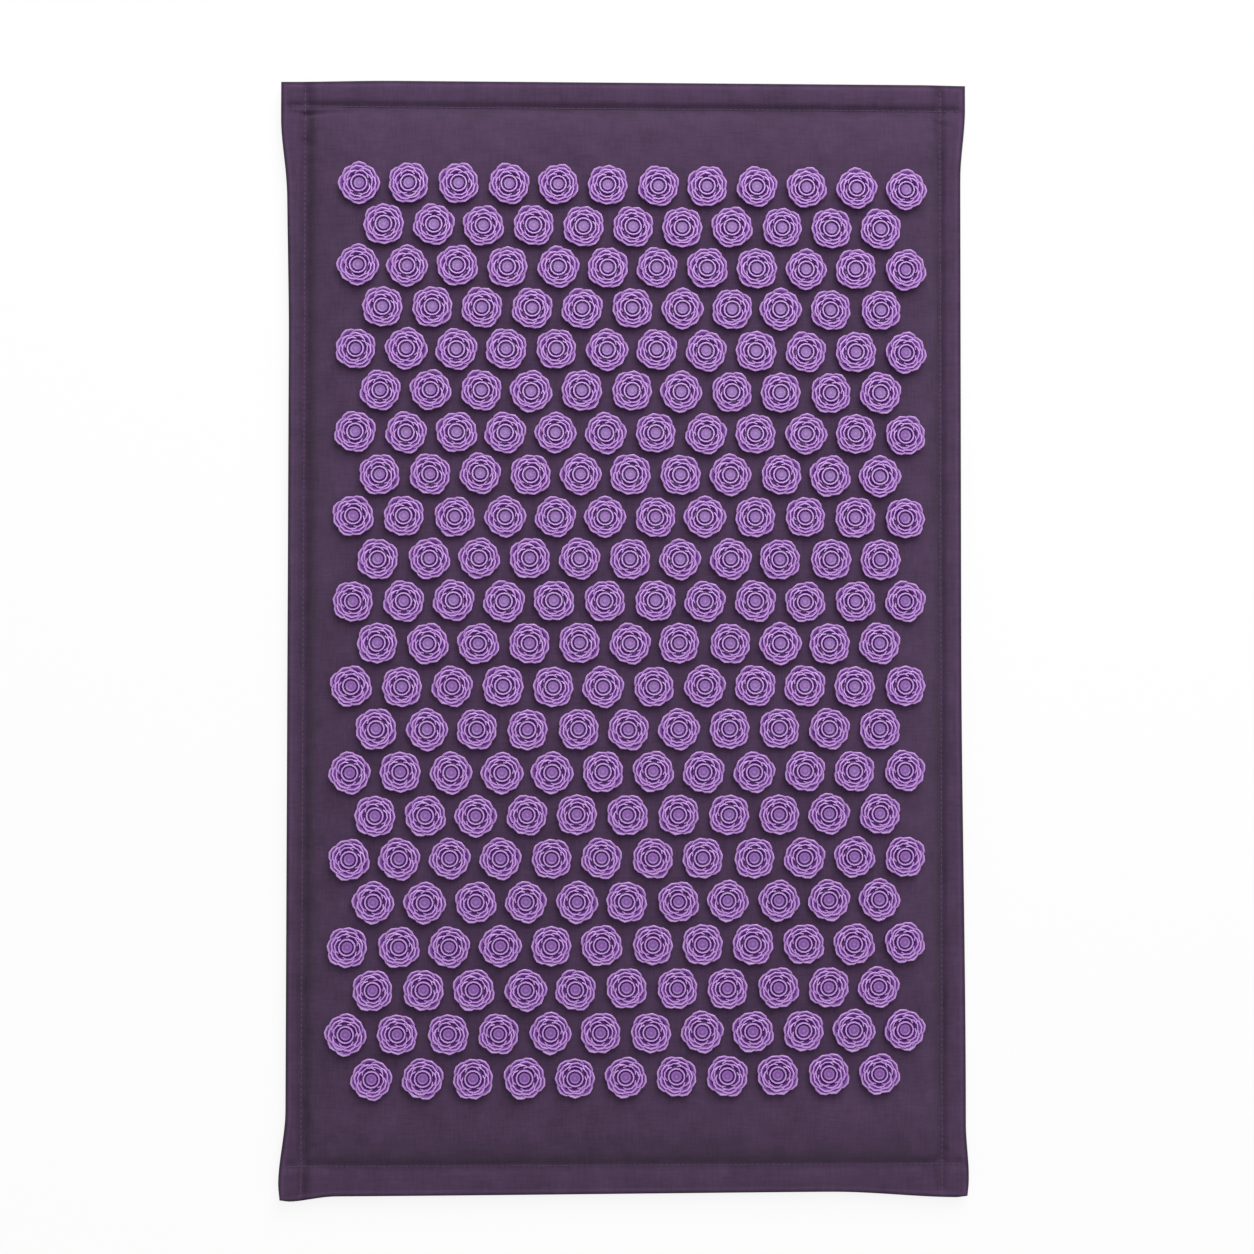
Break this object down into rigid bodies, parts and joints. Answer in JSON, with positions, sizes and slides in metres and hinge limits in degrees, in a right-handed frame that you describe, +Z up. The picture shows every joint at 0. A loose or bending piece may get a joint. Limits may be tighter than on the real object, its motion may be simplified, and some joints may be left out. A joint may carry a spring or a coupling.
{
  "type": "acupressure mat",
  "caption": "Padded cloth mat with a staggered field of moulded spike rosettes, a flat hem flange and a zipped cover round a foam core",
  "frame": {"origin": "on the floor, under the middle of the mat", "axes": "+Z up, +Y along the mat towards the end without the zip, +X across the mat"},
  "size_m": [0.42, 0.68, 0.028],
  "materials": {
    "cover_cloth": "matt woven cotton and linen cloth, dark aubergine",
    "backing_lining": "pressed non-woven lining, grey",
    "foam": "open-cell foam, cream",
    "rosette_plastic": "satin moulded plastic, violet",
    "sewing_thread": "spun sewing thread, aubergine",
    "zip_tape": "woven zip tape, dark aubergine",
    "zip_teeth": "moulded teeth, dark aubergine",
    "zip_metal": "dark plated metal, satin"
  },
  "bodies": {
    "mat": {"front_panel": "cover_cloth", "back_panel": "cover_cloth", "zip_end_panel": "cover_cloth", "rosette_backing_lining": "backing_lining", "foam_core": "foam", "rosette_row_01": "rosette_plastic", "rosette_row_02": "rosette_plastic", "rosette_row_03": "rosette_plastic", "rosette_row_04": "rosette_plastic", "rosette_row_05": "rosette_plastic", "rosette_row_06": "rosette_plastic", "rosette_row_07": "rosette_plastic", "rosette_row_08": "rosette_plastic", "rosette_row_09": "rosette_plastic", "rosette_row_10": "rosette_plastic", "rosette_row_11": "rosette_plastic", "rosette_row_12": "rosette_plastic", "rosette_row_13": "rosette_plastic", "rosette_row_14": "rosette_plastic", "rosette_row_15": "rosette_plastic", "rosette_row_16": "rosette_plastic", "rosette_row_17": "rosette_plastic", "rosette_row_18": "rosette_plastic", "rosette_row_19": "rosette_plastic", "rosette_row_20": "rosette_plastic", "rosette_row_21": "rosette_plastic", "rosette_row_22": "rosette_plastic", "needle_thread_left": "sewing_thread", "needle_thread_right": "sewing_thread", "needle_thread_foot_end": "sewing_thread", "needle_thread_head_end": "sewing_thread", "bobbin_thread_left": "sewing_thread", "bobbin_thread_right": "sewing_thread", "bobbin_thread_foot_end": "sewing_thread", "bobbin_thread_head_end": "sewing_thread", "zip_seam_thread_flange_side": "sewing_thread", "zip_seam_thread_pad_side": "sewing_thread", "zip_tape_flange_side": "zip_tape", "zip_tape_pad_side": "zip_tape", "zip_teeth_flange_side": "zip_teeth", "zip_teeth_pad_side": "zip_teeth", "zip_top_stop_flange_side": "zip_metal", "zip_top_stop_pad_side": "zip_metal", "zip_bottom_stop": "zip_metal"},
    "zip_slider": {"zip_slider": "zip_metal"},
    "zip_pull": {"zip_pull": "zip_metal"}
  },
  "joints": [
    {"name": "zip_slide", "type": "slide", "parent": "mat", "child": "zip_slider", "axis": [1, 0, 0], "range_m": [-0.287, 0]},
    {"name": "pull_hinge", "type": "hinge", "parent": "zip_slider", "child": "zip_pull", "pos_m": [0.1435, -0.30507, 0.00352], "axis": [0, -0.977, 0.213], "range_deg": [0, 178]}
  ]
}
